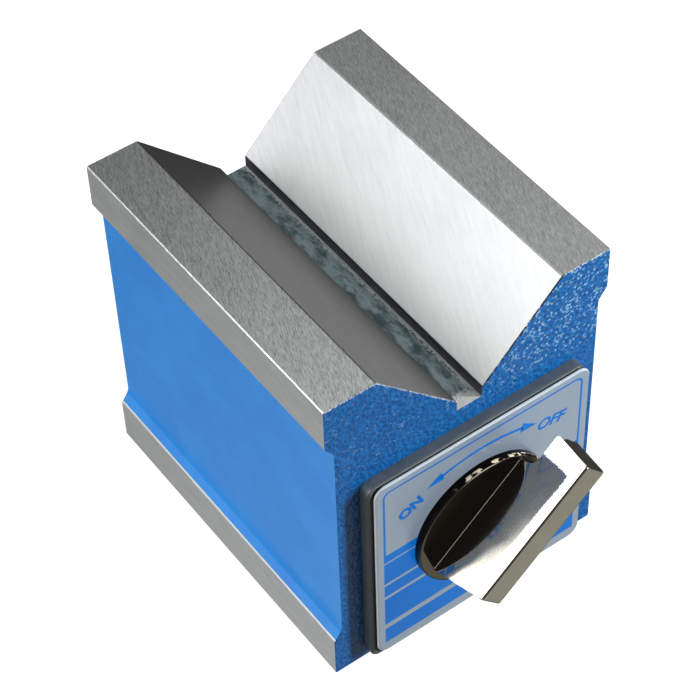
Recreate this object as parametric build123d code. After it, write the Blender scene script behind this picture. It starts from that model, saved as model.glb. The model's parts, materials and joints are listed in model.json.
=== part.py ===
from build123d import *
from math import radians, tan
import os

# Magnetic V-block with a turning switch, in millimetres.
# X runs across the V, Y along it from the front to the back, and Z is up.
# The origin is the middle of the base. Left and right are seen from the front.

# Block: two steel poles held apart by strips that carry no magnetism
BLOCK_WIDTH = 59.0
BLOCK_LENGTH = 70.0
V_ANGLE = 90.0
LAND_WIDTH = 10.4
SLOT_WIDTH = 5.3
STRIP_DROP = 2.4
BORE_RADIUS = 18.0
BASE_WALL = 9.6
BRIDGE_HEIGHT = 10.95
EDGE_BREAK = 0.2

# Ground rails that stand out of the painted sides
RECESS_DEPTH = 1.75
BASE_RAIL_HEIGHT = 9.5
BASE_RAIL_RISE = 2.6
BASE_RAIL_ROUND = 1.1
BASE_COVE_RADIUS = 2.5
TOP_RAIL_HEIGHT = 9.3
TOP_RAIL_SLOPE = 2.4
TOP_COVE_RADIUS = 1.0

# Switch plate, its label, and the cover at the back
PLATE_SIDE_GAP = 6.05
PLATE_OFFSET = 0.45
PLATE_BASE_GAP = 1.3
PLATE_HEIGHT = 48.6
PLATE_THICKNESS = 2.2
PLATE_CORNER = 2.0
PLATE_EDGE_ROUND = 0.45
LABEL_SIDE_INSET = 0.3
LABEL_END_INSET = 0.7
LABEL_OFFSET = 0.75
LABEL_RISE = 0.35
LABEL_THICKNESS = 0.7
LABEL_CORNER = 2.4
LABEL_EDGE_ROUND = 0.3
LABEL_HOLE_GAP = 0.5
COVER_THICKNESS = 2.2
COVER_CHAMFER = 0.5

# Countersunk screws, four at each end
SCREW_RADIUS = 1.5
SCREW_HEAD_RADIUS = 2.8
SCREW_LENGTH = 8.0
SCREW_INSET = 4.6
SCREW_SINK = 0.1
SCREW_HOLE_RUNOUT = 1.0
SOCKET_ACROSS_FLATS = 2.0
SOCKET_DEPTH = 1.1

# Knob: a disc with a lever across it, and a hub that passes through the plate
KNOB_REST_ANGLE = 41.5
KNOB_TRAVEL = 90.0
DISC_RADIUS = 14.2
DISC_HEIGHT = 2.2
DISC_EDGE_ROUND = 0.45
LEVER_HEIGHT = 13.3
LEVER_ROOT_WIDTH = 7.4
LEVER_TIP_WIDTH = 6.2
LEVER_TOE_INSET = 1.9
LEVER_TOE_LEAN = 2.5
LEVER_REACH = 20.6
LEVER_END_LEAN = 0.4
LEVER_UNDERSIDE = 5.0
LEVER_HEEL_INSET = 1.0
LEVER_HEEL_RADIUS = 2.2
LEVER_EDGE_ROUND = 0.5
LEVER_ROOT_ROUND = 0.3
HUB_RADIUS = 6.0
HUB_LIP = 0.8
TONGUE_LENGTH = 3.0
TONGUE_THICKNESS = 4.0

# Bush, washer and ring that carry the knob
BUSH_WALL = 2.0
BUSH_FLANGE_WIDTH = 2.0
BUSH_FLANGE_THICKNESS = 1.5
KNOB_WASHER_THICKNESS = 0.4
KNOB_WASHER_WIDTH = 2.8
RING_THICKNESS = 1.0
RING_WIDTH = 1.9
RING_GROOVE_DEPTH = 0.7
RING_GAP_ANGLE = 30.0
RING_EYE_RADIUS = 1.1
RING_EYE_HOLE = 0.5

# Stop pin that ends the knob's travel inside an arc under the disc
STOP_PIN_RADIUS = 1.2
STOP_PIN_PROUD = 1.3
STOP_GROOVE_DEPTH = 0.95
STOP_PIN_ANGLE = 225.0

# Rotor: ferrite magnets on a square shaft between two bearing discs
SHAFT_HEAD_RADIUS = 8.0
SHAFT_HEAD_PROUD = 0.5
SHAFT_SQUARE = 10.0
JOURNAL_RADIUS = 4.5
JOURNAL_END_GAP = 1.0
FRONT_BEARING_THICKNESS = 4.5
REAR_BEARING_THICKNESS = 6.0
THRUST_WASHER_THICKNESS = 0.5
THRUST_WASHER_WIDTH = 4.5
SPRING_HEIGHT = 1.0
SPRING_THICKNESS = 0.5
CAP_THICKNESS = 2.5
MAGNET_COUNT = 3
MAGNET_CHAMFER = 0.5
ROTOR_GAP = 0.7

# Clearances
RUNNING_FIT = 0.05
PRESS_GAP = 0.02
SCREW_GAP = 0.05
AXIAL_GAP = 0.05
LOOSE_GAP = 0.1
DISC_GAP = 0.6
COUPLING_GAP = 0.3

# Block, worked out
half_width = BLOCK_WIDTH / 2
half_slot = SLOT_WIDTH / 2
land_inner = half_width - LAND_WIDTH
recess_x = half_width - RECESS_DEPTH
axis_height = BASE_WALL + BORE_RADIUS
flank_foot = axis_height + BORE_RADIUS + BRIDGE_HEIGHT
block_height = flank_foot + (land_inner - half_slot) / tan(radians(V_ANGLE / 2))

# Plates, worked out
plate_width = BLOCK_WIDTH - 2 * PLATE_SIDE_GAP
plate_level = PLATE_BASE_GAP + PLATE_HEIGHT / 2 - axis_height
screw_reach_x = plate_width / 2 - SCREW_INSET
screw_reach_y = PLATE_HEIGHT / 2 - SCREW_INSET
screw_places = [
    (PLATE_OFFSET + side * screw_reach_x, plate_level + level * screw_reach_y)
    for side in (-1, 1)
    for level in (-1, 1)
]

# The switch's own frame: its Z points out of the block's front face, its origin is the
# middle of the bore, and X and Y are the block's X and Z.
SWITCH = Plane(origin=(0, 0, axis_height), x_dir=(1, 0, 0), z_dir=(0, -1, 0))

# Stations along the switch's Z, from the front inwards
front = BLOCK_LENGTH / 2
plate_face = front + PLATE_THICKNESS
label_face = plate_face + LABEL_THICKNESS
disc_back = label_face + DISC_GAP
disc_face = label_face + DISC_HEIGHT
lever_face = label_face + LEVER_HEIGHT
bush_back = front - BUSH_FLANGE_THICKNESS
knob_washer_front = bush_back - AXIAL_GAP
knob_ring_front = knob_washer_front - KNOB_WASHER_THICKNESS
knob_ring_back = knob_ring_front - RING_THICKNESS
hub_end = knob_ring_back - HUB_LIP
tongue_end = hub_end - TONGUE_LENGTH
head_front = hub_end - COUPLING_GAP
slot_bottom = tongue_end - COUPLING_GAP
front_bearing_face = head_front - SHAFT_HEAD_PROUD
front_bearing_back = front_bearing_face - FRONT_BEARING_THICKNESS
front_washer_face = front_bearing_back - AXIAL_GAP
rotor_front = front_washer_face - THRUST_WASHER_THICKNESS
magnets_front = rotor_front - CAP_THICKNESS

# and from the back inwards
back = -BLOCK_LENGTH / 2
rear_bearing_face = back + REAR_BEARING_THICKNESS
spring_face = rear_bearing_face + SPRING_HEIGHT
rear_washer_face = spring_face + THRUST_WASHER_THICKNESS
rotor_back = rear_washer_face + AXIAL_GAP
magnets_back = rotor_back + CAP_THICKNESS
magnet_length = (magnets_front - magnets_back) / MAGNET_COUNT

# Radii round the switch's axis, worked out
bush_radius = HUB_RADIUS + RUNNING_FIT + BUSH_WALL
bush_flange_radius = bush_radius + BUSH_FLANGE_WIDTH
stop_radius = (bush_radius + DISC_RADIUS) / 2
rotor_radius = BORE_RADIUS - ROTOR_GAP
bearing_radius = BORE_RADIUS - PRESS_GAP
ring_reach = JOURNAL_RADIUS - RING_GROOVE_DEPTH + RING_WIDTH + 2 * RING_EYE_RADIUS
spring_inner = ring_reach + LOOSE_GAP
spring_outer = spring_inner + THRUST_WASHER_WIDTH


def tube(outer, inner, start, end):
    """A ring about the switch's axis between two stations."""
    return extrude(Pos(0, 0, start) * (Circle(outer) - Circle(inner)), end - start)


def rod(radius, start, end):
    """A round bar about the switch's axis between two stations."""
    return extrude(Pos(0, 0, start) * Circle(radius), end - start)


def corner(face, x, z):
    """The corner of a flat outline that lies nearest a point."""
    return face.vertices().sort_by_distance((x, 0, z))[0]


def bore():
    """The round chamber that runs through both poles."""
    return SWITCH.location * rod(BORE_RADIUS, back - 1, front + 1)


def tapped_holes():
    """Holes for the plate's screws in the front and for the cover's in the back."""
    reach = SCREW_LENGTH + SCREW_HOLE_RUNOUT
    front_hole = Pos(0, 0, plate_face - reach) * Cylinder(
        SCREW_RADIUS + SCREW_GAP, reach, align=(Align.CENTER, Align.CENTER, Align.MIN)
    )
    cover_face = back - COVER_THICKNESS
    rear_hole = Pos(0, 0, cover_face) * Cylinder(
        SCREW_RADIUS + SCREW_GAP, reach, align=(Align.CENTER, Align.CENTER, Align.MIN)
    )
    holes = [Pos(x, y, 0) * hole for x, y in screw_places for hole in (front_hole, rear_hole)]
    return [SWITCH.location * hole for hole in holes]


def pole_form():
    """The right pole before it is drilled: half of the V above, and rails on its side."""
    slope_foot = block_height - TOP_RAIL_HEIGHT - TOP_RAIL_SLOPE
    base_slope_top = BASE_RAIL_HEIGHT + BASE_RAIL_RISE
    outline = Polyline(
        (half_slot, 0, 0),
        (half_width, 0, 0),
        (half_width, 0, BASE_RAIL_HEIGHT),
        (recess_x, 0, base_slope_top),
        (recess_x, 0, slope_foot),
        (half_width, 0, block_height - TOP_RAIL_HEIGHT),
        (half_width, 0, block_height),
        (land_inner, 0, block_height),
        (half_slot, 0, flank_foot),
        close=True,
    )
    face = make_face(outline)
    face = fillet(corner(face, half_width, BASE_RAIL_HEIGHT), BASE_RAIL_ROUND)
    face = fillet(corner(face, recess_x, base_slope_top), BASE_COVE_RADIUS)
    face = fillet(corner(face, recess_x, slope_foot), TOP_COVE_RADIUS)
    ground_edges = [
        (half_width, 0),
        (half_width, block_height),
        (land_inner, block_height),
        (half_slot, flank_foot),
    ]
    for x, z in ground_edges:
        face = chamfer(corner(face, x, z), EDGE_BREAK)
    return extrude(face, BLOCK_LENGTH / 2, dir=(0, 1, 0), both=True)


def spacer_strip(low, high):
    """A strip in the gap between the poles, hollowed by the bore that crosses it."""
    strip = Pos(0, 0, (low + high) / 2) * Box(SLOT_WIDTH, BLOCK_LENGTH, high - low)
    return strip - bore()


def plate_blank(side_inset, end_inset, radius, start, end):
    """A flat plate with round corners, some way inside the switch plate's outline, which
    sits a little to the right of the block's middle."""
    outline = RectangleRounded(plate_width - 2 * side_inset, PLATE_HEIGHT - 2 * end_inset, radius)
    return extrude(Pos(PLATE_OFFSET, plate_level, start) * outline, end - start)


def countersunk_screw():
    """A screw with its head's face at zero and its shank below it."""
    profile = Polyline(
        (0, 0, 0),
        (SCREW_HEAD_RADIUS, 0, 0),
        (SCREW_RADIUS, 0, SCREW_RADIUS - SCREW_HEAD_RADIUS),
        (SCREW_RADIUS, 0, -SCREW_LENGTH),
        (0, 0, -SCREW_LENGTH),
        close=True,
    )
    screw = revolve(make_face(profile), Axis.Z)
    socket = RegularPolygon(SOCKET_ACROSS_FLATS / 2, 6, major_radius=False)
    return screw - extrude(socket, -SOCKET_DEPTH)


def screw_seat():
    """The hole that a countersunk screw needs, with its mouth at zero."""
    mouth = SCREW_HEAD_RADIUS + LOOSE_GAP
    neck = SCREW_RADIUS + LOOSE_GAP
    profile = Polyline(
        (0, 0, 1),
        (mouth, 0, 1),
        (mouth, 0, -SCREW_SINK),
        (neck, 0, neck - mouth - SCREW_SINK),
        (neck, 0, -SCREW_LENGTH),
        (0, 0, -SCREW_LENGTH),
        close=True,
    )
    return revolve(make_face(profile), Axis.Z)


def at_screws(shape, station):
    """Four copies of a shape at the screw places, facing out of the front."""
    return [Pos(x, y, station) * shape for x, y in screw_places]


def at_rear_screws(shape, station):
    """Four copies of a shape at the screw places, facing out of the back."""
    return [Pos(x, y, station) * Rot(180, 0, 0) * shape for x, y in screw_places]


def switch_plate():
    """The metal plate that closes the bore and carries the bush."""
    plate = plate_blank(0, 0, PLATE_CORNER, front, plate_face)
    plate = fillet(plate.edges().group_by(Axis.Z)[-1], PLATE_EDGE_ROUND)
    plate -= rod(bush_radius + PRESS_GAP, front - 1, plate_face + 1)
    plate -= stop_place() * rod(STOP_PIN_RADIUS + PRESS_GAP, front - 1, plate_face + 1)
    return plate - at_screws(screw_seat(), plate_face)


def switch_label():
    """The printed sheet on the plate: it hides the screws and sits a little to one side."""
    label = plate_blank(LABEL_SIDE_INSET, LABEL_END_INSET, LABEL_CORNER, plate_face, label_face)
    label = Pos(LABEL_OFFSET, LABEL_RISE, 0) * label
    label = fillet(label.edges().group_by(Axis.Z)[-1], LABEL_EDGE_ROUND)
    label -= rod(HUB_RADIUS + LABEL_HOLE_GAP, plate_face - 1, label_face + 1)
    return label - stop_place() * rod(STOP_PIN_RADIUS + LOOSE_GAP, plate_face - 1, label_face + 1)


def rear_cover():
    """The plate that closes the bore at the back."""
    cover_face = back - COVER_THICKNESS
    cover = plate_blank(0, 0, PLATE_CORNER, cover_face, back)
    cover = chamfer(cover.edges().group_by(Axis.Z)[0], COVER_CHAMFER)
    return cover - at_rear_screws(screw_seat(), cover_face)


def stop_place():
    """Where the stop pin stands beside the knob's hub."""
    return Rot(0, 0, STOP_PIN_ANGLE) * Pos(stop_radius, 0, 0)


def stop_pin():
    """The pin pressed into the plate that the knob's arc runs against."""
    pin = rod(STOP_PIN_RADIUS, front, label_face + STOP_PIN_PROUD)
    tip = pin.edges().group_by(Axis.Z)[-1]
    return stop_place() * chamfer(tip, STOP_PIN_RADIUS / 6)


def knob_bush():
    """The flanged bush in the plate that the knob's hub turns in."""
    bush = rod(bush_radius, front, plate_face) + rod(bush_flange_radius, bush_back, front)
    return bush - rod(HUB_RADIUS + RUNNING_FIT, bush_back - 1, plate_face + 1)


def lever():
    """The grip that crosses the disc: drafted sides, a leaning toe and a long nose."""
    toe = DISC_RADIUS - LEVER_TOE_INSET
    heel = DISC_RADIUS - LEVER_HEEL_INSET
    root = disc_back + (disc_face - disc_back) / 2
    underside = label_face + LEVER_UNDERSIDE
    side = Polyline(
        (-toe, 0, root),
        (heel, 0, root),
        (heel, 0, underside),
        (LEVER_REACH, 0, underside),
        (LEVER_REACH - LEVER_END_LEAN, 0, lever_face),
        (LEVER_TOE_LEAN - toe, 0, lever_face),
        close=True,
    )
    side_face = make_face(side)
    side_face = fillet(corner(side_face, heel, underside), LEVER_HEEL_RADIUS)
    long_form = extrude(side_face, LEVER_ROOT_WIDTH, dir=(0, 1, 0), both=True)
    draft = (LEVER_ROOT_WIDTH - LEVER_TIP_WIDTH) / 2 / (lever_face - disc_face)
    root_half = LEVER_ROOT_WIDTH / 2 + draft * (disc_face - root)
    tip_half = LEVER_TIP_WIDTH / 2
    section = Polyline(
        (0, -root_half, root),
        (0, root_half, root),
        (0, tip_half, lever_face),
        (0, -tip_half, lever_face),
        close=True,
    )
    cross_form = extrude(make_face(section), 2 * LEVER_REACH, dir=(1, 0, 0), both=True)
    grip = long_form & cross_form
    soft_edges = [edge for edge in grip.edges() if edge.bounding_box().max.Z > root + 0.1]
    return fillet(soft_edges, LEVER_EDGE_ROUND)


def knob_top():
    """The disc and the lever across it, joined by the small round of a casting."""
    disc = rod(DISC_RADIUS, disc_back, disc_face)
    disc = fillet(disc.edges().group_by(Axis.Z)[-1], DISC_EDGE_ROUND)
    top = disc + lever()
    on_disc = top.edges().filter_by_position(Axis.Z, disc_face, disc_face)
    long_seams = on_disc.filter_by(GeomType.LINE).sort_by(SortBy.LENGTH)[-2:]
    return fillet(long_seams, LEVER_ROOT_ROUND)


def switch_knob():
    """The cast knob: disc, lever, hub with its ring groove, and driving tongue."""
    hub = rod(HUB_RADIUS, hub_end, disc_back)
    groove_inner = HUB_RADIUS - RING_GROOVE_DEPTH
    hub -= tube(HUB_RADIUS + 1, groove_inner, knob_ring_back, knob_ring_front)
    tongue_section = Rectangle(2 * HUB_RADIUS, TONGUE_THICKNESS) & Circle(HUB_RADIUS)
    tongue = extrude(Pos(0, 0, tongue_end) * tongue_section, TONGUE_LENGTH)
    knob = Rot(0, 0, KNOB_REST_ANGLE) * (knob_top() + hub + tongue)
    arc = CenterArc((0, 0), stop_radius, STOP_PIN_ANGLE - KNOB_TRAVEL, KNOB_TRAVEL)
    arc_slot = SlotArc(arc, 2 * (STOP_PIN_RADIUS + LOOSE_GAP))
    return knob - extrude(Pos(0, 0, disc_back) * arc_slot, STOP_GROOVE_DEPTH)


def retaining_ring(groove_radius, start):
    """A spring ring with a gap and two eyes, its front at a station."""
    outer = groove_radius + RING_WIDTH
    eye_place = Pos(outer, 0, 0)
    eye_angles = (RING_GAP_ANGLE, -RING_GAP_ANGLE)
    section = Circle(outer)
    for angle in eye_angles:
        section += Rot(0, 0, angle) * eye_place * Circle(RING_EYE_RADIUS)
    section -= Circle(groove_radius)
    gap = 2 * groove_radius * tan(radians(RING_GAP_ANGLE / 2))
    section -= Pos(outer, 0, 0) * Rectangle(2 * outer, gap)
    for angle in eye_angles:
        section -= Rot(0, 0, angle) * eye_place * Circle(RING_EYE_HOLE)
    return extrude(Pos(0, 0, start - RING_THICKNESS) * section, RING_THICKNESS)


def drive_shaft():
    """The rotor's shaft: slotted head, square for the magnets, round rear journal."""
    square_end = rotor_back + LOOSE_GAP
    shaft = rod(SHAFT_HEAD_RADIUS, rotor_front, head_front)
    shaft += extrude(Pos(0, 0, square_end) * Rectangle(SHAFT_SQUARE, SHAFT_SQUARE),
                     rotor_front - square_end)
    shaft += rod(JOURNAL_RADIUS, back + JOURNAL_END_GAP, square_end)
    groove_inner = JOURNAL_RADIUS - RING_GROOVE_DEPTH
    shaft -= tube(JOURNAL_RADIUS + 1, groove_inner, rotor_back - RING_THICKNESS, rotor_back)
    slot_width = TONGUE_THICKNESS + 2 * LOOSE_GAP
    slot = Pos(0, 0, slot_bottom) * Rectangle(4 * SHAFT_HEAD_RADIUS, slot_width)
    shaft -= extrude(slot, head_front - slot_bottom + 1)
    return Rot(0, 0, KNOB_REST_ANGLE) * shaft


def rotor_slice(start, end):
    """A round slice of the rotor with a square hole, its rims broken."""
    hole = SHAFT_SQUARE + 2 * LOOSE_GAP
    piece = rod(rotor_radius, start, end)
    piece = chamfer(piece.edges(), MAGNET_CHAMFER)
    piece -= extrude(Pos(0, 0, start - 1) * Rectangle(hole, hole), end - start + 2)
    return Rot(0, 0, KNOB_REST_ANGLE) * piece


def disc_spring():
    """The dished spring that presses the rotor forward."""
    rise = SPRING_HEIGHT - SPRING_THICKNESS
    profile = Polyline(
        (spring_inner, 0, rear_bearing_face + rise),
        (spring_outer, 0, rear_bearing_face),
        (spring_outer, 0, rear_bearing_face + SPRING_THICKNESS),
        (spring_inner, 0, spring_face),
        close=True,
    )
    return revolve(make_face(profile), Axis.Z)


def switch_parts():
    """Every piece that is built about the switch's axis, in its frame."""
    hub_groove = HUB_RADIUS - RING_GROOVE_DEPTH
    journal_groove = JOURNAL_RADIUS - RING_GROOVE_DEPTH
    washer_inner = HUB_RADIUS + LOOSE_GAP
    head_clear = SHAFT_HEAD_RADIUS + LOOSE_GAP
    pieces = {
        "switch_plate": switch_plate(),
        "switch_label": switch_label(),
        "plate_screws": at_screws(countersunk_screw(), plate_face - SCREW_SINK),
        "stop_pin": stop_pin(),
        "knob_bush": knob_bush(),
        "switch_knob": switch_knob(),
        "knob_washer": tube(
            washer_inner + KNOB_WASHER_WIDTH, washer_inner, knob_ring_front, knob_washer_front
        ),
        "knob_retaining_ring": retaining_ring(hub_groove, knob_ring_front),
        "front_bearing_disc": tube(
            bearing_radius, SHAFT_HEAD_RADIUS + RUNNING_FIT, front_bearing_back, front_bearing_face
        ),
        "front_thrust_washer": tube(
            head_clear + THRUST_WASHER_WIDTH, head_clear, rotor_front, front_washer_face
        ),
        "drive_shaft": drive_shaft(),
        "rotor_front_cap": rotor_slice(magnets_front, rotor_front),
        "rotor_rear_cap": rotor_slice(rotor_back, magnets_back),
        "rotor_retaining_ring": retaining_ring(journal_groove, rotor_back),
        "rear_thrust_washer": tube(spring_outer, spring_inner, spring_face, rear_washer_face),
        "disc_spring": disc_spring(),
        "rear_bearing_disc": tube(
            bearing_radius, JOURNAL_RADIUS + RUNNING_FIT, back, rear_bearing_face
        ),
        "rear_cover_plate": rear_cover(),
        "rear_cover_screws": at_rear_screws(
            countersunk_screw(), back - COVER_THICKNESS + SCREW_SINK
        ),
    }
    for number in range(MAGNET_COUNT):
        end = magnets_front - number * magnet_length
        pieces[f"rotor_magnet_{number + 1}"] = rotor_slice(end - magnet_length, end)
    return pieces


def placed(piece):
    """A piece, or a group of equal pieces, moved from the switch's frame to the block's."""
    if isinstance(piece, list):
        return Compound([SWITCH.location * single for single in piece])
    return SWITCH.location * piece


def main():
    right = pole_form()
    left = mirror(right, about=Plane.YZ)
    parts = {
        "right_pole_block": right - bore() - tapped_holes(),
        "left_pole_block": left - bore() - tapped_holes(),
        "vee_spacer_strip": spacer_strip(axis_height, flank_foot - STRIP_DROP),
        "base_spacer_strip": spacer_strip(0, axis_height),
    }
    for name, piece in switch_parts().items():
        parts[name] = placed(piece)
    os.makedirs("parts", exist_ok=True)
    for name, piece in parts.items():
        export_step(piece, f"parts/{name}.step")
    print(f"block {BLOCK_WIDTH} x {BLOCK_LENGTH} x {block_height:.2f}, {len(parts)} nodes")
    print(f"bore axis at {axis_height:.2f}, flank foot at {flank_foot:.2f}")
    print(f"plate {plate_width:.1f} x {PLATE_HEIGHT:.1f}, each magnet {magnet_length:.2f} long")


main()
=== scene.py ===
# %% [markdown]
# # A magnetic V-block
# This tool holds round bars and small work on a machine table. Two steel poles stand side by side,
# and a magnet inside them is turned on and off by the knob on the front. The solids come from the
# CAD model, in metres, each at its real place. What is added here is how every surface looks, and
# the print on the label.

import json
from math import cos, pi, radians, sin

import bmesh
import bpy
from mathutils import Matrix, Vector


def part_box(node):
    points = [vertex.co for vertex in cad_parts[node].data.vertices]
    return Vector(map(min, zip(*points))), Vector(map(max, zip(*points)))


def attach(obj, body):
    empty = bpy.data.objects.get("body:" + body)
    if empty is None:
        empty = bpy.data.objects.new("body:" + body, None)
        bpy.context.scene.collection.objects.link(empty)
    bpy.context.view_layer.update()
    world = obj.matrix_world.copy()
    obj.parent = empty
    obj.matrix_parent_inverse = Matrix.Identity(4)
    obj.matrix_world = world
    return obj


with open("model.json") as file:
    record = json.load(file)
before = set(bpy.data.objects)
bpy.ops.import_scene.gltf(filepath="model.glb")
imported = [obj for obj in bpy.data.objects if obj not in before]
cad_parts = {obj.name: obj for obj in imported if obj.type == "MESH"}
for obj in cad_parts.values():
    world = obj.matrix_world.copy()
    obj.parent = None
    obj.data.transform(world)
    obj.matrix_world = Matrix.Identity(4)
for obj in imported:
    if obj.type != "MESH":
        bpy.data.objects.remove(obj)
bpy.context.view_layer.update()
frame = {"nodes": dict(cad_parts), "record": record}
nodes = frame["nodes"]
MM = 0.001
print("nodes:", len(nodes))

# %% [markdown]
# ## Where things are
# The finishes change from place to place on one solid: a pole is ground steel on its lands and
# painted on its sides. Those places are read from the solids and from the record, so that they
# stay true if the model changes. They are kept in millimetres, the unit of the finishes below.

# %% Read the places that the finishes need
def limits(node):
    """The lowest and highest corner of a solid, in millimetres."""
    low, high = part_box(node)
    return Vector(low) / MM, Vector(high) / MM


block_high = limits("right_pole_block")[1]
strip_high = limits("vee_spacer_strip")[1]
knob_low = limits("switch_knob")[0]
label_low, label_high = limits("switch_label")
plate_low, plate_high = limits("switch_plate")
vee_mount = next(mount for mount in frame["record"]["mounts"] if mount["name"] == "vee")

TOP = block_high.z
SIDE = block_high.x
END = block_high.y
VEE_LEVEL = vee_mount["pos_m"][2] / MM
SLOT_SIDE = strip_high.x
LABEL_FACE = label_low.y
AXIS_LEVEL = frame["record"]["behaviour"]["joints"][0]["pos_m"][2] / MM
print(f"block {TOP:.1f} mm high, flanks meet at {VEE_LEVEL:.1f}, switch axis at {AXIS_LEVEL:.1f}")

# %% [markdown]
# ## The camera
# The view looks down on the front left corner from not far away, so the lines of the block run
# together a little. A camera is placed by the point that it looks at, its distance from there and
# two angles. The small roll is that of a camera held by hand.

# %% Place the camera
LOOK_AT = Vector((0.1, -0.3, 36.3)) * MM
CAMERA_DISTANCE = 425.0 * MM
CAMERA_TURN = radians(-34.62)
CAMERA_TILT = radians(41.36)
CAMERA_ROLL = radians(-2.107)
CAMERA_LENS = 120.55
SENSOR_WIDTH = 36.0

turn = (
    Matrix.Rotation(CAMERA_TURN, 4, "Z")
    @ Matrix.Rotation(CAMERA_TILT, 4, "X")
    @ Matrix.Rotation(CAMERA_ROLL, 4, "Z")
)
step_back = Matrix.Translation((0, 0, CAMERA_DISTANCE))
camera = bpy.data.objects.new("camera", bpy.data.cameras.new("camera"))
camera.data.lens = CAMERA_LENS
camera.data.sensor_width = SENSOR_WIDTH
camera.matrix_world = Matrix.Translation(LOOK_AT) @ turn @ step_back
bpy.context.scene.collection.objects.link(camera)
bpy.context.scene.camera = camera
print("camera at", [round(part / MM, 1) for part in camera.matrix_world.translation])

# %% [markdown]
# ## Sums on wires
# A material is a tree of nodes joined by wires. Long sums of Math nodes are hard to read, so a
# small class stands for a wire and takes part in ordinary sums: each sign adds one Math node.

# %% A wire that can be added and multiplied
class Wire:
    """The end of a wire in a node tree, which takes part in sums like a number."""

    def __init__(self, tree, socket):
        self.tree = tree
        self.socket = socket

    def __add__(self, other):
        return self.tree.maths("ADD", self, other)

    __radd__ = __add__

    def __sub__(self, other):
        return self.tree.maths("SUBTRACT", self, other)

    def __rsub__(self, other):
        return self.tree.maths("SUBTRACT", other, self)

    def __mul__(self, other):
        return self.tree.maths("MULTIPLY", self, other)

    __rmul__ = __mul__

    def __neg__(self):
        return self * -1.0

    def __pow__(self, other):
        return self.tree.maths("POWER", self, other)

    def __abs__(self):
        return self.tree.maths("ABSOLUTE", self)

    def larger(self, other):
        return self.tree.maths("MAXIMUM", self, other)

    def smaller(self, other):
        return self.tree.maths("MINIMUM", self, other)


print("wires can be summed")

# %% [markdown]
# ## A tree of nodes
# Every other node comes from one method, which takes its type, its settings and the values of its
# sockets. The few sums of nodes that most finishes share get a method each: a soft step between
# two values, and a mix of two colours or two numbers.

# %% A tree that adds nodes
class Tree:
    """A node tree that is being wired."""

    def __init__(self, node_tree):
        self.node_tree = node_tree

    def join(self, socket, value):
        """Joins a wire to a socket, or sets the socket's own value."""
        if isinstance(value, Wire):
            self.node_tree.links.new(value.socket, socket)
        else:
            socket.default_value = value

    def node(self, kind, settings=None, sockets=None, output=0):
        """Adds a node of any kind, its settings first, and gives the wire out of it."""
        added = self.node_tree.nodes.new(kind)
        for name, value in (settings or {}).items():
            setattr(added, name, value)
        for name, value in (sockets or {}).items():
            self.join(added.inputs[name], value)
        return Wire(self, added.outputs[output])

    def maths(self, operation, first, second=0.0):
        """The wire out of one Math node."""
        return self.node("ShaderNodeMath", {"operation": operation}, {0: first, 1: second})

    def split(self, vector):
        """The three parts of a vector."""
        parts = self.node("ShaderNodeSeparateXYZ", sockets={0: vector}).socket.node.outputs
        return [Wire(self, part) for part in parts]

    def step(self, value, low, high):
        """0 below low and 1 above high, and a soft step between them."""
        sockets = {"Value": value, "From Min": low, "From Max": high}
        return self.node("ShaderNodeMapRange", {"interpolation_type": "SMOOTHSTEP"}, sockets)

    def mix(self, share, first, second):
        """A colour between two others."""
        sockets = {0: share, 6: first, 7: second}
        return self.node("ShaderNodeMix", {"data_type": "RGBA"}, sockets, 2)

    def blend(self, share, first, second):
        """A number between two others."""
        sockets = {0: share, 2: first, 3: second}
        return self.node("ShaderNodeMix", {"data_type": "FLOAT"}, sockets)


def colour(red, green, blue):
    """A colour as a screen shows it, from 0 to 255, in the linear values that shaders use."""
    parts = [part / 255 for part in (red, green, blue)]
    linear = [p / 12.92 if p <= 0.04045 else ((p + 0.055) / 1.055) ** 2.4 for p in parts]
    return (*linear, 1.0)


print("paint blue in linear values:", [round(part, 3) for part in colour(45, 120, 190)])

# %% [markdown]
# ## The studio
# Ground steel and polished nickel show what stands around them, so the room matters more than the
# lamps. This room is dark at the front left, where the camera stands, and pale overhead and at the
# back left, with a low window at the front right. A sky that depends on the direction alone can be
# drawn with soft steps. What stands in front is there for the reflections: it sheds only a tenth
# of its light on rough surfaces, so that the shadows on the front face stay deep.

# %% Draw the room round the block
WHITE = (1.0, 1.0, 1.0, 1.0)
YELLOWISH = (1.0, 0.99, 0.83, 1.0)
DARK_CORNERS = 0.05
OVERHEAD = 1.10
LEFT_WALL = 3.20
LEFT_GROUND = 0.68
FRONT_GROUND = 0.26
FRONT_RIGHT = 0.60
WINDOW = 2.50
KEPT_FROM_ROUGH = 0.9

world = bpy.data.worlds.new("studio")
world.use_nodes = True
sky = Tree(world.node_tree)
heading = sky.node("ShaderNodeTexCoord", output="Generated")
right, behind, up = sky.split(heading)
left, front, down = -right, -behind, -up

left_wall = sky.step(left, 0.42, 0.62) * sky.step(behind, -0.25, 0.0) * sky.step(up, -0.2, 0.0)
overhead = sky.step(up, 0.45, 0.62) * sky.step(behind, 0.0, 0.35) * (1 - left_wall)
left_ground = sky.step(left, -0.1, 0.3) * sky.step(behind, 0.0, 0.4) * sky.step(down, 0.3, 0.5)
front_ground = sky.step(front, 0.1, 0.4) * sky.step(down, 0.3, 0.6)
front_right = sky.step(front, 0.35, 0.6) * sky.step(right, 0.0, 0.3) * sky.step(up, -0.15, 0.1)
window = sky.step(front, 0.45, 0.6) * sky.step(right, 0.15, 0.3) * sky.step(up, -0.45, -0.3)
window = window * (1 - sky.step(up, 0.0, 0.15))
far = sky.step(behind, 0.45, 0.62)
far_right = sky.step(right, 0.30, 0.55)

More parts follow.
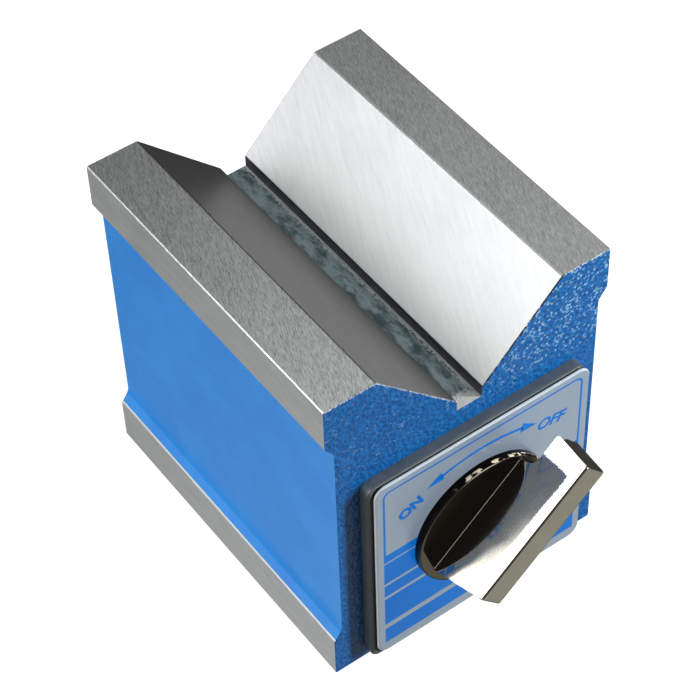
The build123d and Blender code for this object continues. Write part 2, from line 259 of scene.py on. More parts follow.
soft_light = sky.node("ShaderNodeLightPath", output="Is Diffuse Ray")
in_front = FRONT_GROUND * front_ground + FRONT_RIGHT * front_right + WINDOW * window
brightness = (
    DARK_CORNERS
    + OVERHEAD * overhead * (1 - far) * (1 - 0.38 * far_right)
    + LEFT_WALL * left_wall * (1 - 0.85 * far)
    + LEFT_GROUND * left_ground * (1 - 0.70 * far)
    + in_front * (1 - KEPT_FROM_ROUGH * soft_light)
)
background = world.node_tree.nodes["Background"]
sky.join(background.inputs["Strength"], brightness)
sky.join(background.inputs["Color"], sky.mix(front_ground, WHITE, YELLOWISH))
bpy.context.scene.world = world
bpy.context.scene.view_settings.view_transform = "Standard"
print("nodes in the sky:", len(world.node_tree.nodes))

# %% [markdown]
# ## The lamps and the floor
# A low lamp on the right rakes across the front face: it lights the hammered paint and throws the
# plate's dark shadow to the left. It is narrow, so this shadow is crisp. The knob is left out of
# the solids that block it, because the label beside the knob is evenly lit. A wide soft lamp
# lights the left side. The pale floor shows to the camera, but it stays out of the reflections,
# which the room above provides.

# %% Place the lamps and the floor
def area_light(name, direction, distance, width, height, power):
    """A soft box that looks at the block from a direction and stays out of the reflections."""
    lamp = bpy.data.lights.new(name, "AREA")
    lamp.shape = "RECTANGLE"
    lamp.size = width
    lamp.size_y = height
    lamp.energy = power
    holder = bpy.data.objects.new(name, lamp)
    aim = Vector(direction).normalized()
    holder.location = LOOK_AT + aim * distance
    holder.rotation_euler = aim.to_track_quat("Z", "Y").to_euler()
    holder.visible_glossy = False
    bpy.context.scene.collection.objects.link(holder)
    return holder


raking_lamp = area_light(
    "raking_lamp", (0.75, -0.58, 0.30), distance=0.45, width=0.05, height=0.45, power=3.3
)
area_light("left_lamp", (-0.97, -0.05, 0.25), distance=1.5, width=1.0, height=0.8, power=7.0)

shadowless = bpy.data.collections.new("no_shadow_from_raking_lamp")
shadowless.objects.link(nodes["switch_knob"])
shadowless.collection_objects[0].light_linking.link_state = "EXCLUDE"
raking_lamp.light_linking.blocker_collection = shadowless

FLOOR_SIZE = 6.0
floor_mesh = bmesh.new()
bmesh.ops.create_grid(floor_mesh, x_segments=1, y_segments=1, size=FLOOR_SIZE / 2)
floor_data = bpy.data.meshes.new("studio_floor")
floor_mesh.to_mesh(floor_data)
floor_mesh.free()
floor = bpy.data.objects.new("studio_floor", floor_data)
bpy.context.scene.collection.objects.link(floor)
floor.visible_diffuse = False
floor.visible_glossy = False

# %% [markdown]
# ## What a finish starts from
# A finish is a tree that ends in one shader. Its patterns are laid out in millimetres of the
# model's own coordinates, so they stay on the steel when the camera or the knob moves. Grain from
# a grinding wheel is noise pulled out along one axis. Turned parts have rings about the switch's
# axis.

# %% A finish
class Finish(Tree):
    """A material that is being built."""

    def __init__(self, name):
        self.material = bpy.data.materials.new(name)
        self.material.use_nodes = True
        super().__init__(self.material.node_tree)
        self.shader = self.node_tree.nodes["Principled BSDF"]
        metres = self.node("ShaderNodeTexCoord", output="Object")
        self.place = self.scaled(metres, (1 / MM,) * 3)
        self.x, self.y, self.z = self.split(self.place)

    def surface(self, **values):
        """Sets the shader's sockets by name, with underscores for spaces."""
        for name, value in values.items():
            self.join(self.shader.inputs[name.replace("_", " ")], value)
        return self.material

    def scaled(self, vector, by):
        """A vector with each axis scaled by itself."""
        return self.node("ShaderNodeVectorMath", {"operation": "MULTIPLY"}, {0: vector, 1: by})

    def noise(self, per_mm, detail=2.0, roughness=0.5, stretch=(1, 1, 1), place=None):
        """Noise with so many waves in a millimetre, each axis stretched by itself."""
        pulled = self.scaled(place or self.place, [1 / part for part in stretch])
        sockets = {"Vector": pulled, "Scale": per_mm, "Detail": detail, "Roughness": roughness}
        return self.node("ShaderNodeTexNoise", sockets=sockets)

    def cells(self, per_mm):
        """The distance to the nearest of many scattered points."""
        return self.node("ShaderNodeTexVoronoi", sockets={"Vector": self.place, "Scale": per_mm})

    def from_axis(self):
        """How far a point is from the switch's axis, in millimetres."""
        level = self.z - AXIS_LEVEL
        return (self.x * self.x + level * level) ** 0.5

    def bump(self, height, depth, before=None):
        """A normal tilted by a height from 0 to 1, depth millimetres deep."""
        sockets = {"Height": height, "Distance": depth * MM, "Strength": 1.0}
        if before:
            sockets["Normal"] = before
        return self.node("ShaderNodeBump", sockets=sockets)


def wear(node, material):
    """Gives a solid its material."""
    node.data.materials.clear()
    node.data.materials.append(material)


FLOOR_TONE = (0.42, 0.42, 0.42, 1.0)
FLOOR_GLOW = 2.0
sweep = Finish("studio_sweep").surface(
    Base_Color=FLOOR_TONE, Roughness=0.9, Emission_Color=FLOOR_TONE, Emission_Strength=FLOOR_GLOW
)
wear(floor, sweep)
print("the floor wears", floor.data.materials[0].name)

# %% [markdown]
# ## Hammered paint
# Hammer paint dries into shallow dimples with soft ridges. On the ends of the casting it is thick
# and coarse, and on the sides thin and nearly smooth. Cells give the dimples and noise breaks them
# up. The ends' blues are darker copies of the sides' blues, painted shade for the less lit ends,
# and on the ends the dimples are painted darker than the ridges: painted shade. Pale pearls are
# painted glints. Most of them lie towards the right and the top, where the light falls, and there
# are none up to a few millimetres above the plate, where the plate shades the paint.

# %% Mix the paint
# The ends' blues are darker copies of the sides' blues: painted shade, as the ends get less light.
SIDE_BLUES = colour(0, 122, 206), colour(8, 130, 214)
SHADED_END_BLUES = colour(2, 88, 162), colour(20, 112, 188)
PAINTED_GLINT = colour(158, 204, 236)
SIDE_ROUGHNESS = 0.38
END_ROUGHNESS = 0.16
CELLS_PER_MM = 1.2
GLINTS_PER_MM = 1.35


def at_ends(finish):
    """1 on the two end faces of the block, and 0 just inside them."""
    return finish.step(abs(finish.y), END - 0.06, END - 0.03)


def paint(finish, on_end):
    """Colour, roughness and height of the paint, with on_end 1 on the block's ends."""
    dimples = finish.cells(CELLS_PER_MM) * 0.6 + finish.noise(1.6, 1.0, 0.5) * 0.8
    ripple = finish.noise(0.5, 2.0, 0.5)
    height = finish.blend(on_end, ripple, dimples)
    cloud = finish.noise(0.09, 3.0, 0.55)
    thin = finish.mix(finish.step(cloud, 0.35, 0.65), *SIDE_BLUES)
    # On the ends the dimples are painted darker than the ridges: painted shade.
    end_shade_and_glints = finish.mix(finish.step(dimples, 0.45, 0.95), *SHADED_END_BLUES)
    # Pale pearls are painted glints: denser towards the upper right, where the light falls, and
    # left out up to a few millimetres above the plate, which shades the paint.
    glint_density = finish.step(finish.x + 0.5 * finish.z, 18, 50)
    painted_glints = 1 - finish.step(finish.cells(GLINTS_PER_MM), 0.22, 0.52)
    painted_glints = painted_glints * finish.step(finish.noise(0.6, 2.0, 0.6) + 0.1 * glint_density, 0.50, 0.64)
    painted_glints = painted_glints * finish.step(finish.z, plate_high.z + 1, plate_high.z + 5)
    end_shade_and_glints = finish.mix(painted_glints * (0.3 + 0.5 * glint_density), end_shade_and_glints, PAINTED_GLINT)
    tone = finish.mix(on_end, thin, end_shade_and_glints)
    roughness = finish.blend(on_end, SIDE_ROUGHNESS, END_ROUGHNESS)
    return tone, roughness, height


print("pearls begin", round(plate_high.z + 1, 1), "mm above the base")

# %% [markdown]
# ## Ground steel
# Fine scratches run with the grinding wheel and a faint cloud lies over them. The scratches vary
# the colour and tilt the surface a little, which smears the reflections sideways the way real
# grinding does. They are noise pulled out along Y, in a place that the caller may have skewed. The
# lands are speckled: there the fine scratches count for more than the long streaks.

# %% Grind the steel
STEEL_GREYS = colour(120, 124, 126), colour(238, 240, 240)


def ground_steel(finish, speckle, place):
    """Colour, roughness and height of ground steel, with speckle up to 1 on the lands."""
    fine = finish.noise(6.5, 2.0, 0.75, stretch=(1, 7, 1), place=place)
    streak = finish.noise(1.3, 3.0, 0.7, stretch=(1, 10, 1), place=place)
    cloud = finish.noise(0.12, 3.0, 0.6, stretch=(1, 1.6, 1))
    streak_share = finish.blend(speckle, 0.38, 0.06)
    fine_share = finish.blend(speckle, 0.14, 0.44)
    contrast = (fine - 0.5) * finish.blend(speckle, 0.0, 2.0)
    # The left land is painted lighter than the right one: painted light.
    left_land_painted_light = 0.3 * (speckle - 0.65).larger(0.0)
    light = (
        0.32 + 0.16 * cloud + streak * streak_share + fine * fine_share + contrast + left_land_painted_light
    )
    tone = finish.mix(light, *STEEL_GREYS)
    roughness = finish.blend(speckle, 0.38, 0.22) + 0.14 * streak
    height = fine * finish.blend(speckle, 0.35, 0.8) + streak * 0.5
    return tone, roughness, height


print("ground steel lies between", [[round(part, 2) for part in grey] for grey in STEEL_GREYS])

# %% [markdown]
# ## The poles
# One material covers both poles. Masks from the coordinates say what is bare: the top, the base,
# the rails on the sides and the planes of the V. The ends are painted right up to their edges,
# where the grinding has chipped the paint off in small pale spots. Along the right flank the edge
# carries a ragged dark line instead: painted shade. The left flank's steel is painted darker,
# painted shade, and the walls of the slot between the poles are painted near black: painted shade
# in the gap. The wheel crossed the lands and the V at a small angle, so the grain leans there, and
# on the rails it runs straight along the block.

# %% Finish the poles
GROUND_EDGE = 0.30
SLOT_FOOT = 50.0
GRAIN_LEAN = 0.38
PAINT_DEPTHS = 0.05, 0.22
SCRATCH_DEPTH = 0.012
LEFT_FLANK_PAINTED_SHADE = colour(112, 104, 94)
SLOT_PAINTED_SHADE = colour(20, 24, 26)
CHIP = colour(232, 236, 236)
FLANK_EDGE_PAINTED_SHADE = colour(12, 30, 50)

pole = Finish("pole_paint_and_steel")
across = abs(pole.x)
on_end = at_ends(pole)
above_flank = pole.z - across - VEE_LEVEL
beside_slot = pole.step(across, SLOT_SIDE + 0.02, SLOT_SIDE + 0.05)
on_flank = pole.step(above_flank, -0.12, -0.06) * beside_slot
on_land = pole.step(pole.z, TOP - GROUND_EDGE - 0.02, TOP - GROUND_EDGE + 0.02)
on_rail = pole.step(across, SIDE - GROUND_EDGE - 0.04, SIDE - GROUND_EDGE)
on_base = 1 - pole.step(pole.z, 0.02, 0.1)
bare = on_flank.larger(on_land).larger(on_rail).larger(on_base) * (1 - on_end)
in_slot = 1 - pole.step(across, SLOT_SIDE + 0.02, SLOT_SIDE + 0.2)
in_slot = in_slot * pole.step(pole.z, SLOT_FOOT, SLOT_FOOT + 0.1)

flank_edge = -above_flank
edge_gap = flank_edge.smaller(TOP - pole.z)
chips = pole.step(pole.noise(2.4, 2.0, 0.6) - 0.25 * edge_gap, 0.43, 0.49)
chips = chips * (1 - pole.step(edge_gap, 0.2, 0.5))
# A ragged dark line along the right flank's edge: painted shade.
flank_edge_shade = (1 - pole.step(flank_edge, 0.45, 0.75)) * pole.step(pole.x, 0, 2)
flank_edge_shade = flank_edge_shade * pole.step(pole.noise(0.9), 0.40, 0.48)

lean = GRAIN_LEAN * (1 - on_rail)
lean_up = lean * on_flank * pole.maths("SIGN", pole.x)
leaning = {0: pole.x - lean * pole.y, 1: pole.y, 2: pole.z - lean_up * pole.y}
grain_place = pole.node("ShaderNodeCombineXYZ", sockets=leaning)
speckle = on_land * (1 - 0.35 * pole.step(pole.x, -5, 5))
left_flank = on_flank * (1 - pole.step(pole.x, -1, 1))

paint_tone, paint_roughness, paint_height = paint(pole, on_end)
steel_tone, steel_roughness, steel_height = ground_steel(pole, speckle, grain_place)
# The left flank's steel is painted darker: painted shade.
steel_tone = pole.mix(0.4 * left_flank, steel_tone, LEFT_FLANK_PAINTED_SHADE)
tone = pole.mix(bare, paint_tone, steel_tone)
# The slot walls are painted near black: painted shade in the gap between the poles.
tone = pole.mix(in_slot * (1 - on_end), tone, SLOT_PAINTED_SHADE)
tone = pole.mix(on_end * chips * (1 - flank_edge_shade), tone, CHIP)
# Here the ragged dark line along the right flank's edge goes on: painted shade.
tone = pole.mix(on_end * flank_edge_shade, tone, FLANK_EDGE_PAINTED_SHADE)
paint_relief = paint_height * pole.blend(on_end, *PAINT_DEPTHS)
relief = pole.blend(bare, paint_relief, steel_height * SCRATCH_DEPTH)
pole_finish = pole.surface(
    Base_Color=tone,
    Metallic=bare,
    Roughness=pole.blend(bare, paint_roughness, steel_roughness),
    Normal=pole.bump(relief, 1.0),
)
for name in ("left_pole_block", "right_pole_block"):
    wear(nodes[name], pole_finish)
print("nodes in the poles' material:", len(pole.node_tree.nodes))

# %% [markdown]
# ## The strip in the root of the V
# Between the poles lies a strip of metal that carries no magnetism. It was sprayed with the sides,
# then scraped and stained: patches of dull blue-green and grey, and bare pale metal along its
# right edge and near the front. Its ends are painted like the rest of the front.

# %% Finish the spacer strips
STAINS = colour(80, 101, 108), colour(160, 181, 186)
SCRAPED = colour(222, 226, 226)

strip = Finish("spacer_metal")
strip_end = at_ends(strip)
patches = strip.noise(0.55, 4.0, 0.65, stretch=(1, 2.5, 1))
spots = strip.noise(1.6, 3.0, 0.65, stretch=(1, 1.8, 1))
flecks = strip.noise(2.2, 3.0, 0.7, stretch=(1, 1.6, 1))
scraped_side = strip.step(strip.x + 3.4 * flecks, 3.5, 3.9)
scraped_front = strip.step(7.0 * flecks - strip.y, END, END + 1.5)
stain = strip.mix(strip.step(patches, 0.36, 0.60), *STAINS)
stain = strip.mix(scraped_side.larger(scraped_front), stain, SCRAPED)
strip_tone, strip_roughness, strip_height = paint(strip, strip_end)
strip_relief = strip.blend(strip_end, patches * 0.3 + spots * 0.12, strip_height * 0.12)
strip_finish = strip.surface(
    Base_Color=strip.mix(strip_end, stain, strip_tone),
    Metallic=strip.blend(strip_end, 0.35, 0.0),
    Roughness=strip.blend(strip_end, 0.45, strip_roughness),
    Normal=strip.bump(strip_relief, 1.0),
)
for name in ("vee_spacer_strip", "base_spacer_strip"):
    wear(nodes[name], strip_finish)
print("strip top at", round(strip_high.z, 2))

# %% [markdown]
# ## The switch plate
# The plate is satin grey steel. Round the label the plate's face is painted nearly black, painted
# shade in the step between the two, and the plate's left edge is painted darker than its face:
# painted shade.
# The cover on the back is the same satin metal in a paler grey.

# %% Finish the plates
LABEL_CORNER = 2.4
SHADE_REACH = 0.7
LABEL_STEP_PAINTED_SHADE = colour(20, 23, 26)
LEFT_EDGE_PAINTED_SHADE = colour(40, 46, 50)
SATIN_DEPTH = 0.01
label_middle = (label_low + label_high) / 2
label_half = (label_high - label_low) / 2


def satin(name, dark, pale):
    """Satin metal with a fine grain across the block."""
    finish = Finish(name)
    lines = finish.noise(4.0, 3.0, 0.6, stretch=(6, 1, 1))
    cloud = finish.noise(0.25, 3.0, 0.6)
    tone = finish.mix(0.5 * lines + 0.5 * cloud, dark, pale)
    return finish, tone, lines


def inside_label(finish, margin, radius):
    """How far a point lies inside a rounded frame within the label's outline, in millimetres."""
    reach_x = abs(finish.x - label_middle.x) - (label_half.x - margin - radius)
    reach_z = abs(finish.z - label_middle.z) - (label_half.z - margin - radius)
    corner_x = reach_x.larger(0.0)
    corner_z = reach_z.larger(0.0)
    outside = (corner_x * corner_x + corner_z * corner_z) ** 0.5
    return radius - outside - reach_x.larger(reach_z).smaller(0.0)


plate, plate_tone, plate_lines = satin("plate_satin", colour(80, 88, 90), colour(146, 153, 154))
# Round the label the plate's face is painted near black: painted shade in the step.
label_step_shade = plate.step(-plate.y, -plate_low.y - 0.05, -plate_low.y - 0.01)
label_step_shade = label_step_shade * plate.step(inside_label(plate, 0.0, LABEL_CORNER), -SHADE_REACH, -0.4)
# The plate's left edge is painted darker: painted shade.
left_edge_shade = plate.step(-plate.x, -plate_low.x - 0.7, -plate_low.x - 0.2)
plate_tone = plate.mix(0.5 * left_edge_shade, plate_tone, LEFT_EDGE_PAINTED_SHADE)
plate_finish = plate.surface(
    Base_Color=plate.mix(0.9 * label_step_shade, plate_tone, LABEL_STEP_PAINTED_SHADE),
    Metallic=0.5,
    Roughness=0.36 + 0.14 * plate_lines,
    Normal=plate.bump(plate_lines, SATIN_DEPTH),
)
wear(nodes["switch_plate"], plate_finish)

cover, cover_tone, cover_lines = satin("cover_satin", colour(150, 154, 158), colour(214, 216, 218))
cover_finish = cover.surface(
    Base_Color=cover_tone,
    Metallic=1.0,
    Roughness=0.30 + 0.15 * cover_lines,
    Normal=cover.bump(cover_lines, SATIN_DEPTH),
)
wear(nodes["rear_cover_plate"], cover_finish)
print("plate reaches", round(plate_low.y, 2), "mm")

# %% [markdown]
# ## The label
# The label is a thin sheet with a silver-grey ground, printed in blue under a clear coat: a border
# line and a plain blue field with pale stripes. Straight shapes like these are drawn in the
# material from the distance to a rounded rectangle. The letters and the arrow follow as thin
# pieces of ink. The edge of the sheet is painted pale, a painted highlight, and its foot next to
# the plate is painted near black: painted shade.

# %% Print the label
BORDER_MARGIN = 1.5
BORDER_WIDTH = 0.46
BORDER_CORNER = 1.6
FIELD_TOP = 30.7
FIELD_FOOT = 4.9
FIELD_CORNER = 0.8
STRIPES = ((28.4, 0.3), (22.2, 0.6), (18.4, 0.7), (9.8, 1.3))
SOFT = 0.05
SILVERS = colour(176, 197, 222), colour(208, 224, 243)
INK_BLUES = colour(0, 112, 212), colour(14, 130, 228)
LABEL_EDGE_PAINTED_HIGHLIGHT = colour(206, 214, 218)
LABEL_FOOT_PAINTED_SHADE = colour(24, 28, 32)
COAT_ON_INK = 0.2
COAT_ROUGHNESS = 0.08

label = Finish("label_print")
above_field = label.step(label.z, FIELD_TOP - SOFT, FIELD_TOP)
border = inside_label(label, BORDER_MARGIN, BORDER_CORNER)
line = label.step(border, 0, SOFT)
line = line * (1 - label.step(border, BORDER_WIDTH, BORDER_WIDTH + SOFT)) * above_field
field = label.step(inside_label(label, BORDER_MARGIN, FIELD_CORNER), 0, SOFT)
field = field * (1 - above_field) * label.step(label.z, FIELD_FOOT, FIELD_FOOT + SOFT)
for level, width in STRIPES:
    field = field * label.step(abs(label.z - level), width / 2, width / 2 + SOFT)
ink = line.larger(field)

sheen = label.noise(2.2, 3.0, 0.6)
cloud = label.noise(0.10, 2.0, 0.5)
ground = label.mix(0.35 * sheen + 0.5 * cloud, *SILVERS)
printed = label.mix(ink, ground, label.mix(cloud, *INK_BLUES))
# The foot of the label's edge is painted near black: painted shade.
label_foot_shade = label.step(label.y, LABEL_FACE + 0.40, LABEL_FACE + 0.46)
# The label's edge is painted pale: a painted highlight.
rim = label.step(label.y, LABEL_FACE + 0.02, LABEL_FACE + 0.06)
label_finish = label.surface(
    Base_Color=label.mix(label_foot_shade, label.mix(rim, printed, LABEL_EDGE_PAINTED_HIGHLIGHT), LABEL_FOOT_PAINTED_SHADE),
    Metallic=label.blend(ink.larger(rim), 0.5, 0.0),
    Roughness=0.32 + 0.10 * sheen,
    Coat_Weight=label.blend(ink, 0.6, COAT_ON_INK),
    Coat_Roughness=COAT_ROUGHNESS,
    Normal=label.bump(sheen, SATIN_DEPTH),
)
wear(nodes["switch_label"], label_finish)
print("label from", [round(part, 1) for part in label_low])
print("to", [round(part, 1) for part in label_high])

# %% [markdown]
# ## Ink on the label
# ON, OFF and the arrow between them are flat ink, three hundredths of a millimetre thick. Each
# piece is drawn flat in millimetres of the label, across and up, and then stood up on its face.
# Letters come from a text object, made a mesh before it is put in place.

# %% Write ON and OFF
INK_DEPTH = 0.03
ON_LABEL = Matrix.Translation((0, LABEL_FACE * MM, 0)) @ Matrix.Rotation(radians(90), 4, "X")

ink_blue = Finish("print_ink")
ink_finish = ink_blue.surface(
    Base_Color=ink_blue.mix(ink_blue.noise(0.10, 2.0, 0.5), *INK_BLUES),
    Roughness=0.34,
    Coat_Weight=COAT_ON_INK,
    Coat_Roughness=COAT_ROUGHNESS,
)


def spun(degrees, size=4):
    """A turn in the plane of the label, as a matrix of 3 or 4 rows."""
    return Matrix.Rotation(radians(degrees), size, "Z")


def ink_piece(name, mesh):
    """Puts a flat mesh on the label as a thin piece of ink that rides on the block."""
    mesh.transform(ON_LABEL @ Matrix.Scale(MM, 4))
    mesh.materials.append(ink_finish)
    piece = bpy.data.objects.new(name, mesh)
    bpy.context.scene.collection.objects.link(piece)
    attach(piece, "block")


def letters(name, text, middle, size, tilt, slant=0.0, weight=0.0):
    """A word as ink, its middle at a point of the label, turned by an angle in degrees."""
    curve = bpy.data.curves.new(name, "FONT")
    curve.body = text
    curve.size = size
    curve.shear = slant
    curve.offset = weight
    curve.align_x = "CENTER"
    curve.align_y = "CENTER"
    curve.extrude = INK_DEPTH / 2
    writer = bpy.data.objects.new(name, curve)
    bpy.context.scene.collection.objects.link(writer)
    written = writer.evaluated_get(bpy.context.evaluated_depsgraph_get())
    mesh = bpy.data.meshes.new_from_object(written)
    bpy.data.objects.remove(writer)
    mesh.name = name
    mesh.transform(Matrix.Translation((*middle, INK_DEPTH / 2)) @ spun(tilt))
    ink_piece(name, mesh)


letters("print_on", "ON", (-14.5, 39.8), size=3.3, tilt=26, weight=0.16)
letters("print_off", "OFF", (15.8, 40.8), size=3.5, tilt=-9, slant=0.25, weight=0.10)

# %% [markdown]
# ## The arrow
# The arrow shows both ways that the knob turns. Its line is one short edge spun about a centre
# below it, and each of its heads is a disc with three sides, turned to point away from the middle
# and carried round to the end of the line.

# %% Spin the arrow
ARROW_CENTRE = Vector((0.8, 13.7, 0))
ARROW_RADIUS = 31.0
LINE_WIDTH = 0.6
LINE_END = 16.4
LINE_STEPS = 32
HEAD_PLACE = 18.2
HEAD_LENGTH = 3.6
HEAD_WIDTH = 2.2

arrow = bmesh.new()
inner = arrow.verts.new(ARROW_CENTRE + Vector((0, ARROW_RADIUS - LINE_WIDTH / 2, 0)))
outer = arrow.verts.new(ARROW_CENTRE + Vector((0, ARROW_RADIUS + LINE_WIDTH / 2, 0)))
edge = arrow.edges.new((inner, outer))
bmesh.ops.rotate(arrow, verts=[inner, outer], cent=ARROW_CENTRE, matrix=spun(LINE_END, 3))
bmesh.ops.spin(
    arrow, geom=[inner, outer, edge], cent=ARROW_CENTRE, axis=(0, 0, 1),
    angle=radians(-2 * LINE_END), steps=LINE_STEPS, use_merge=False,
)
for side in (1, -1):
    head = bmesh.ops.create_circle(arrow, cap_ends=True, segments=3, radius=1.0)["verts"]
    bmesh.ops.rotate(arrow, verts=head, cent=(0, 0, 0), matrix=spun(90 * side, 3))
    across_head = [vert.co.x for vert in head]
    up_head = [vert.co.y for vert in head]
    longer = HEAD_LENGTH / (max(across_head) - min(across_head))
    wider = HEAD_WIDTH / (max(up_head) - min(up_head))
    bmesh.ops.scale(arrow, verts=head, vec=(longer, wider, 1))
    bmesh.ops.translate(arrow, verts=head, vec=ARROW_CENTRE + Vector((0, ARROW_RADIUS, 0)))
    bmesh.ops.rotate(arrow, verts=head, cent=ARROW_CENTRE, matrix=spun(HEAD_PLACE * side, 3))
flat = bmesh.ops.extrude_face_region(arrow, geom=arrow.faces[:])
raised = [part for part in flat["geom"] if isinstance(part, bmesh.types.BMVert)]
bmesh.ops.translate(arrow, verts=raised, vec=(0, 0, INK_DEPTH))
bmesh.ops.recalc_face_normals(arrow, faces=arrow.faces[:])
arrow_mesh = bpy.data.meshes.new("print_arrow")
arrow.to_mesh(arrow_mesh)
arrow.free()
ink_piece("print_arrow", arrow_mesh)
print("faces in the arrow:", len(arrow_mesh.polygons))

# %% [markdown]
# ## The knob
# The knob is cast, polished and nickel-plated. It is nearly a mirror, with a warm tint, a few
# smudges and the soft waviness that a buffing wheel leaves. The wheel also takes more off towards
# an edge, so the lever's side curves there and shows the bright left wall in place of the label.
# The CAD face is flat, and the curve is far less than a millimetre, so it is drawn as a turned
# normal. Places on the lever are measured along it, sideways from its middle, and in depth back
# from its front. They are laid out for the rest pose, and the finish rides on the knob, so they
# stay true as it turns. The disc's face is painted darker than the nickel, a painted dark
# reflection, and the lever's side is painted darker outside the buffed band: painted shade. The
# disc's rim is painted nearly black, its side all round and its rounded edge except at the lower
# left: painted shade. Pale spots on the upper right of the rounded rim are painted highlights.

# %% Plate the knob
LEVER_ANGLE = radians(41.5)
LEVER_SIDE = 3.0
LEVER_ROOT = 10.8
MIRROR_TILT = radians(2)
NOSE_TILT = radians(-6)
BUFFED_TILT = radians(16)
ROUND_RADIUS, ROUND_DEPTH = 13.7, 11.2
RIM_RADIUS, RIM_DEPTH = 14.1, 11.6
HIGHLIGHT_SPOT_FOOT = 12.0
NICKELS = colour(214, 210, 200), colour(238, 235, 228)
DISC_PAINTED_REFLECTION = colour(136, 126, 116)
LEVER_SIDE_PAINTED_SHADE = colour(146, 140, 128)
RIM_PAINTED_SHADE = colour(24, 22, 20)
RIM_SPOT_PAINTED_HIGHLIGHT = colour(236, 218, 186)


def lever_normal(tilt):
    """The lever's side towards the upper left, turned outward by an angle, as a colour."""
    normal = (-sin(LEVER_ANGLE) * cos(tilt), -sin(tilt), cos(LEVER_ANGLE) * cos(tilt))
    return (*[0.5 + 0.5 * part for part in normal], 1.0)


knob = Finish("polished_nickel")
level = knob.z - AXIS_LEVEL
along = knob.x * cos(LEVER_ANGLE) + level * sin(LEVER_ANGLE)
sideways = level * cos(LEVER_ANGLE) - knob.x * sin(LEVER_ANGLE)
depth = knob.y - knob_low.y
smudge = knob.noise(0.22, 4.0, 0.6)
grit = knob.noise(3.5, 2.0, 0.6)
waves = knob.noise(0.16, 1.0, 0.5)

band = 1.1 + 0.6 * smudge + 1.0 * grit + 0.021 * (4 - along).larger(0.0) ** 2
buffed = (1 - knob.step(depth - band, -0.4, 0.4)).larger(knob.step(along + grit, 16.3, 17.9))
disc_face = knob.step(depth, LEVER_ROOT - 0.1, LEVER_ROOT)
near_side = knob.step(sideways, LEVER_SIDE, LEVER_SIDE + 0.08) * knob.step(depth, 0.6, 0.75)
near_side = near_side * (1 - disc_face)
nose = knob.step(along, 6, 14) * (1 - knob.step(depth, 4.0, 7.0))
mirror = knob.mix(nose, lever_normal(MIRROR_TILT), lever_normal(NOSE_TILT))
side_normal = knob.mix(buffed, mirror, lever_normal(BUFFED_TILT))
normal_map = {"Strength": near_side, "Color": side_normal}
tilted = knob.node("ShaderNodeNormalMap", {"space": "OBJECT"}, normal_map)

from_axis = knob.from_axis()
# The rim is painted near black, except the rounded edge at the lower left: painted shade.
upper_rim = knob.step(from_axis, ROUND_RADIUS, ROUND_RADIUS + 0.1) * knob.step(along, -12, -7)
upper_rim = upper_rim * knob.step(depth, ROUND_DEPTH, ROUND_DEPTH + 0.1)
lower_rim = knob.step(from_axis, RIM_RADIUS, RIM_RADIUS + 0.05)
lower_rim = lower_rim * knob.step(depth, RIM_DEPTH, RIM_DEPTH + 0.1)
rim = lower_rim.larger(upper_rim)
# Pale spots on the upper right of the rim: painted highlights.
rim_highlight_spots = knob.step(knob.noise(0.7, 2.0, 0.6), 0.50, 0.56) * knob.step(along, 3, 6) * upper_rim
rim_highlight_spots = rim_highlight_spots * (1 - knob.step(depth, HIGHLIGHT_SPOT_FOOT - 0.2, HIGHLIGHT_SPOT_FOOT))
haze = near_side * smudge * (0.5 + grit) * (1 - knob.step(depth, 2.0, 8.5))

nickel_and_painted_shade = knob.mix(smudge, *NICKELS)
# The disc's face is painted darker than the nickel: a painted dark reflection.
nickel_and_painted_shade = knob.mix(disc_face, nickel_and_painted_shade, DISC_PAINTED_REFLECTION)
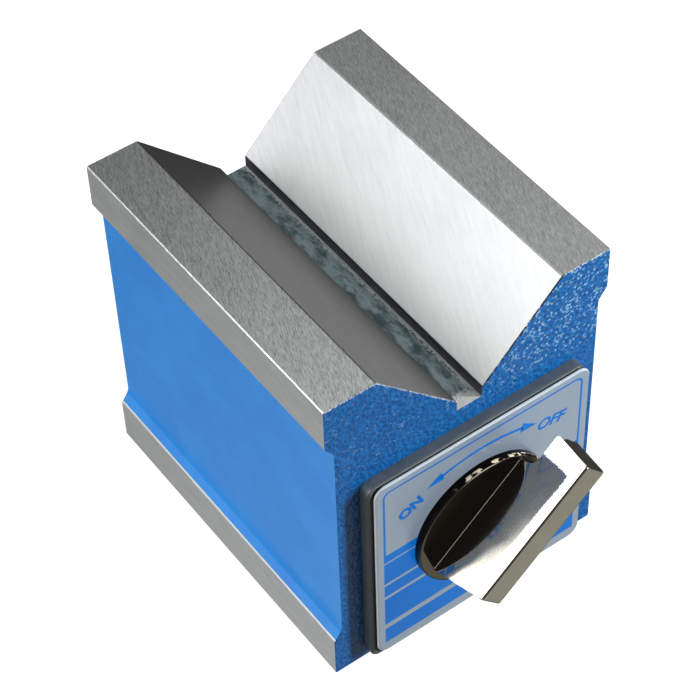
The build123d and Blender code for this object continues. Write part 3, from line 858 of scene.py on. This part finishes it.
# The lever's side is painted darker outside the buffed band: painted shade.
nickel_and_painted_shade = knob.mix(near_side * (1 - buffed) * (0.4 + 0.6 * grit), nickel_and_painted_shade, LEVER_SIDE_PAINTED_SHADE)
knob_finish = knob.surface(
    Base_Color=knob.mix(rim_highlight_spots, knob.mix(rim, nickel_and_painted_shade, RIM_PAINTED_SHADE), RIM_SPOT_PAINTED_HIGHLIGHT),
    Metallic=1 - (0.4 * haze).larger(rim_highlight_spots),
    Roughness=0.06 + 0.2 * haze + 0.35 * rim,
    Normal=knob.bump(waves * 0.02, 1.0, tilted),
)
wear(nodes["switch_knob"], knob_finish)
print("knob reaches", round(knob_low.y, 2), "mm")

# %% [markdown]
# ## Parts inside and behind
# Screws, bush, bearings, rings, shaft and magnets are seen only when the block is taken apart, or
# from the back. Turned parts get fine rings about the switch's axis, and the ferrite is a dull
# black with a fine grain.

# %% Finish the parts inside
RINGS_PER_MM = 3.0
RING_DEPTH = 0.01


def turned(name, dark, pale, roughness):
    """Turned metal with rings about the switch's axis."""
    finish = Finish(name)
    grit = finish.noise(1.0, 3.0, 0.6)
    phase = finish.from_axis() * (2 * pi * RINGS_PER_MM) + grit
    rings = finish.maths("SINE", phase) * 0.5 + 0.5
    return finish.surface(
        Base_Color=finish.mix(0.5 * grit + 0.5 * rings, dark, pale),
        Metallic=1.0,
        Roughness=roughness,
        Normal=finish.bump(rings, RING_DEPTH),
    )


brass = turned("turned_brass", colour(176, 138, 74), colour(214, 180, 112), 0.32)
shaft_steel = turned("turned_steel", colour(150, 152, 154), colour(206, 208, 210), 0.28)
spring_steel = turned("spring_steel", colour(84, 88, 94), colour(132, 138, 146), 0.36)
screw_steel = turned("screw_steel", colour(60, 62, 64), colour(112, 114, 116), 0.40)

ferrite = Finish("sintered_ferrite")
ferrite_grain = ferrite.noise(5.0, 3.0, 0.7)
ferrite_finish = ferrite.surface(
    Base_Color=ferrite.mix(ferrite_grain, colour(34, 34, 36), colour(68, 68, 72)),
    Roughness=0.75,
    Normal=ferrite.bump(ferrite_grain, 0.02),
)
inside_parts = (
    (brass, (
        "knob_bush", "front_bearing_disc", "rear_bearing_disc", "rotor_front_cap",
        "rotor_rear_cap",
    )),
    (shaft_steel, ("drive_shaft",)),
    (spring_steel, (
        "disc_spring", "rear_thrust_washer", "front_thrust_washer", "knob_washer",
        "knob_retaining_ring", "rotor_retaining_ring",
    )),
    (screw_steel, ("plate_screws", "rear_cover_screws", "stop_pin")),
    (ferrite_finish, ("rotor_magnet_1", "rotor_magnet_2", "rotor_magnet_3")),
)
for material, names in inside_parts:
    for name in names:
        wear(nodes[name], material)
    print(material.name, "on", len(names))
